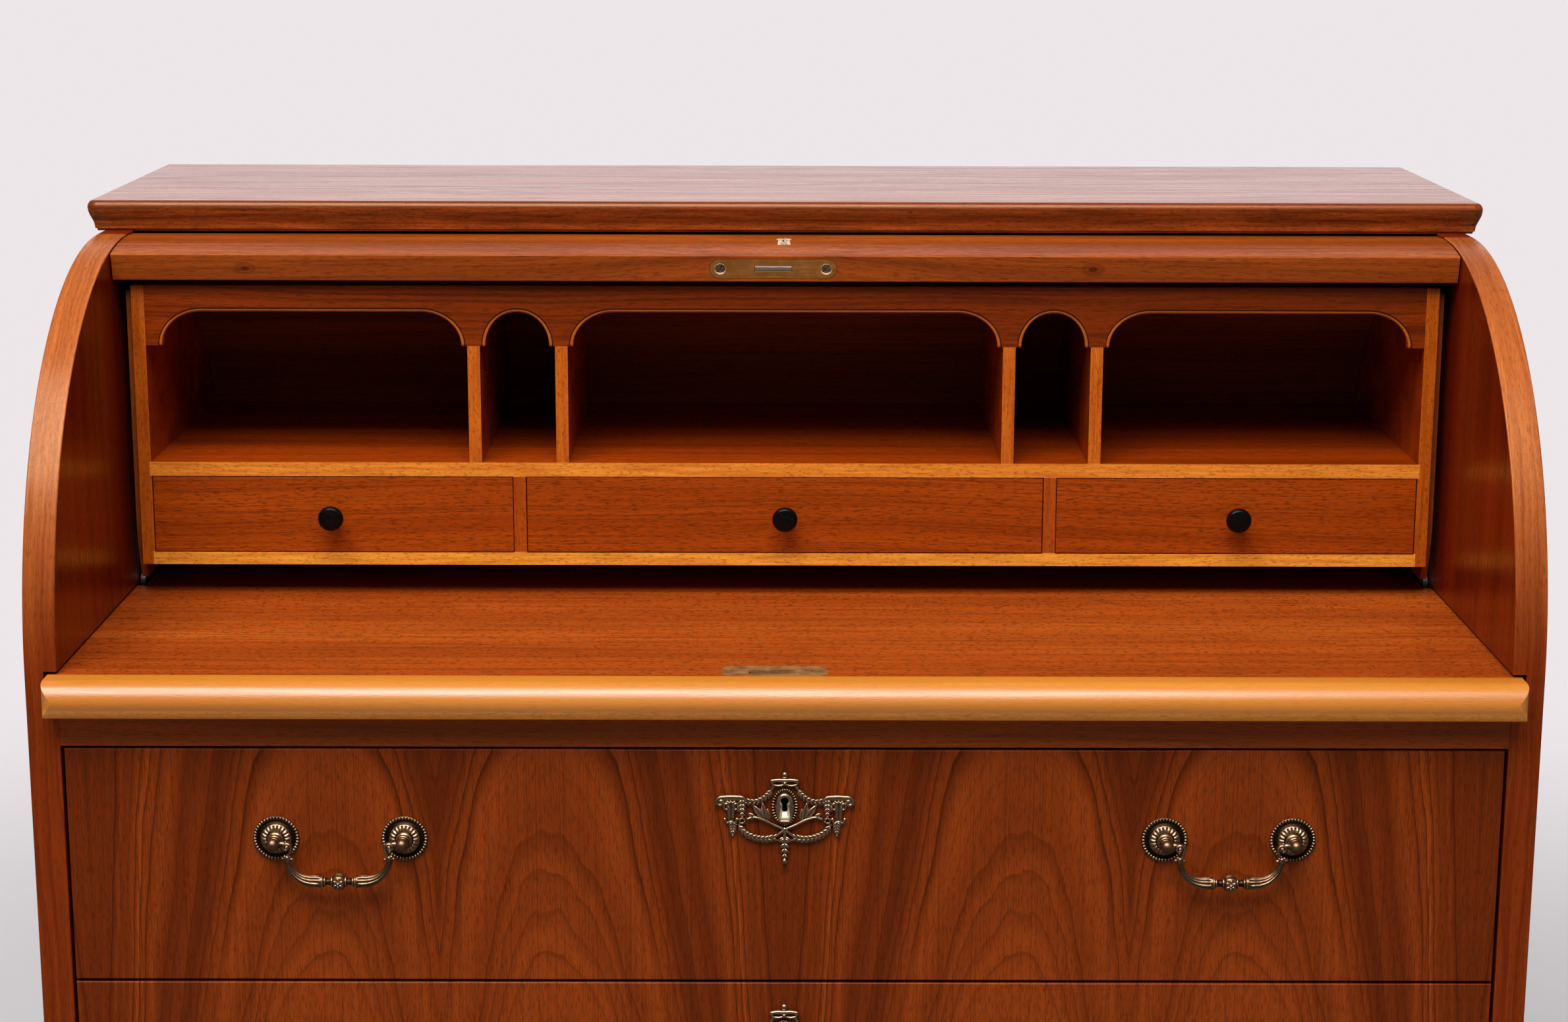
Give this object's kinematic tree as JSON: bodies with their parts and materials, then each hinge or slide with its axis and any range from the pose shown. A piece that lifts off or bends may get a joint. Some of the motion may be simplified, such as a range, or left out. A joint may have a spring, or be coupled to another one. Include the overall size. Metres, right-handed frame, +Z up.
{
  "type": "roll top desk",
  "caption": "Small roll top desk with a rigid curved cover over an arched pigeonhole unit, a pull-out writing slide, full-width drawers with bail handles and a tapered leg frame.",
  "frame": {"origin": "floor level under the middle of the bounding box", "axes": "+X towards the desk's right side seen from the front, +Y towards its back, +Z up"},
  "size_m": [0.91, 0.512, 0.9975],
  "materials": {
    "side_veneer": "satin lacquer",
    "top_veneer": "satin lacquer",
    "back_ply": "bare plywood",
    "rail_wood": "satin lacquer",
    "leg_wood": "satin lacquer",
    "unit_wood": "satin lacquer",
    "cheek_ply": "bare plywood edge",
    "apron_veneer": "satin lacquer",
    "unit_back_ply": "satin lacquer",
    "cover_veneer": "satin lacquer",
    "slide_veneer": "satin lacquer",
    "lipping_wood": "satin lacquer",
    "small_veneer": "satin lacquer",
    "drawer_veneer": "satin lacquer",
    "lining_wood": "bare softwood",
    "knob_black": "ebonised gloss",
    "glide_felt": "matte",
    "arm_steel": "dull, unpolished",
    "bolt_steel": "worn bright",
    "screw_steel": "browned",
    "lock_brass": "worn, finely scratched",
    "strike_brass": "dull, tarnished",
    "antique_brass": "antique, dark in the hollows",
    "bone_plate": "smooth, bone-like"
  },
  "bodies": {
    "carcase": {"side_left": "side_veneer", "side_right": "side_veneer", "top_board": "top_veneer", "back_panel": "back_ply", "bottom_panel": "back_ply", "front_rail": "rail_wood", "slide_runners": "back_ply", "drawer_runners": "back_ply", "legs": "leg_wood", "leg_glides": "glide_felt", "base_rails": "leg_wood", "pivot_pins": "arm_steel", "unit_sides": "unit_wood", "unit_cheeks": "cheek_ply", "unit_shelves": "unit_wood", "unit_dividers": "unit_wood", "unit_apron": "apron_veneer", "unit_back": "unit_back_ply", "unit_bearers": "unit_wood"},
    "cover": {"cover_panel": "cover_veneer", "cover_rail": "cover_veneer", "cover_arms": "arm_steel", "cover_lock_plate": "lock_brass", "cover_lock_case": "arm_steel", "cover_lock_screws": "screw_steel", "cover_key_plate": "bone_plate"},
    "cover_bolt": {"cover_lock_bolt": "bolt_steel"},
    "slide": {"writing_slide": "slide_veneer", "slide_lipping": "lipping_wood", "strike_plate": "strike_brass", "strike_screws": "screw_steel"},
    "small_drawer_left": {"small_drawer_left_front": "small_veneer", "small_drawer_left_box": "lining_wood", "small_drawer_left_knob": "knob_black"},
    "small_drawer_middle": {"small_drawer_middle_front": "small_veneer", "small_drawer_middle_box": "lining_wood", "small_drawer_middle_knob": "knob_black"},
    "small_drawer_right": {"small_drawer_right_front": "small_veneer", "small_drawer_right_box": "lining_wood", "small_drawer_right_knob": "knob_black"},
    "drawer_1": {"drawer_1_front": "drawer_veneer", "drawer_1_box": "lining_wood", "drawer_1_rosettes": "antique_brass", "drawer_1_escutcheon": "antique_brass", "drawer_1_lock_case": "arm_steel"},
    "drawer_2": {"drawer_2_front": "drawer_veneer", "drawer_2_box": "lining_wood", "drawer_2_rosettes": "antique_brass", "drawer_2_escutcheon": "antique_brass"},
    "drawer_3": {"drawer_3_front": "drawer_veneer", "drawer_3_box": "lining_wood", "drawer_3_rosettes": "antique_brass", "drawer_3_escutcheon": "antique_brass"},
    "drawer_1_bail_left": {"drawer_1_bail_left": "antique_brass"},
    "drawer_1_bail_right": {"drawer_1_bail_right": "antique_brass"},
    "drawer_2_bail_left": {"drawer_2_bail_left": "antique_brass"},
    "drawer_2_bail_right": {"drawer_2_bail_right": "antique_brass"},
    "drawer_3_bail_left": {"drawer_3_bail_left": "antique_brass"},
    "drawer_3_bail_right": {"drawer_3_bail_right": "antique_brass"},
    "drawer_1_bolt": {"drawer_1_lock_bolt": "bolt_steel"}
  },
  "joints": [
    {"name": "cover_hinge", "type": "hinge", "parent": "carcase", "child": "cover", "pos_m": [0, -0.004, 0.7475], "axis": [1, 0, 0], "range_deg": [0, 77.35]},
    {"name": "cover_bolt_slide", "type": "slide", "parent": "cover", "child": "cover_bolt", "axis": [0, 0.9757, 0.219], "range_m": [-0.006, 0]},
    {"name": "writing_slide", "type": "slide", "parent": "carcase", "child": "slide", "axis": [0, -1, 0], "range_m": [0, 0.2]},
    {"name": "small_drawer_left_slide", "type": "slide", "parent": "carcase", "child": "small_drawer_left", "axis": [0, -1, 0], "range_m": [0, 0.11]},
    {"name": "small_drawer_middle_slide", "type": "slide", "parent": "carcase", "child": "small_drawer_middle", "axis": [0, -1, 0], "range_m": [0, 0.11]},
    {"name": "small_drawer_right_slide", "type": "slide", "parent": "carcase", "child": "small_drawer_right", "axis": [0, -1, 0], "range_m": [0, 0.11]},
    {"name": "drawer_1_slide", "type": "slide", "parent": "carcase", "child": "drawer_1", "axis": [0, -1, 0], "range_m": [0, 0.3]},
    {"name": "drawer_2_slide", "type": "slide", "parent": "carcase", "child": "drawer_2", "axis": [0, -1, 0], "range_m": [0, 0.3]},
    {"name": "drawer_3_slide", "type": "slide", "parent": "carcase", "child": "drawer_3", "axis": [0, -1, 0], "range_m": [0, 0.3]},
    {"name": "drawer_1_bail_left_hinge", "type": "hinge", "parent": "drawer_1", "child": "drawer_1_bail_left", "pos_m": [-0.263, -0.245, 0.6471], "axis": [-1, 0, 0], "range_deg": [0, 95]},
    {"name": "drawer_1_bail_right_hinge", "type": "hinge", "parent": "drawer_1", "child": "drawer_1_bail_right", "pos_m": [0.263, -0.245, 0.6471], "axis": [-1, 0, 0], "range_deg": [0, 95]},
    {"name": "drawer_2_bail_left_hinge", "type": "hinge", "parent": "drawer_2", "child": "drawer_2_bail_left", "pos_m": [-0.263, -0.245, 0.5014], "axis": [-1, 0, 0], "range_deg": [0, 95]},
    {"name": "drawer_2_bail_right_hinge", "type": "hinge", "parent": "drawer_2", "child": "drawer_2_bail_right", "pos_m": [0.263, -0.245, 0.5014], "axis": [-1, 0, 0], "range_deg": [0, 95]},
    {"name": "drawer_3_bail_left_hinge", "type": "hinge", "parent": "drawer_3", "child": "drawer_3_bail_left", "pos_m": [-0.263, -0.245, 0.3557], "axis": [-1, 0, 0], "range_deg": [0, 95]},
    {"name": "drawer_3_bail_right_hinge", "type": "hinge", "parent": "drawer_3", "child": "drawer_3_bail_right", "pos_m": [0.263, -0.245, 0.3557], "axis": [-1, 0, 0], "range_deg": [0, 95]},
    {"name": "drawer_1_bolt_slide", "type": "slide", "parent": "drawer_1", "child": "drawer_1_bolt", "axis": [0, 0, -1], "range_m": [-0.007, 0]}
  ]
}
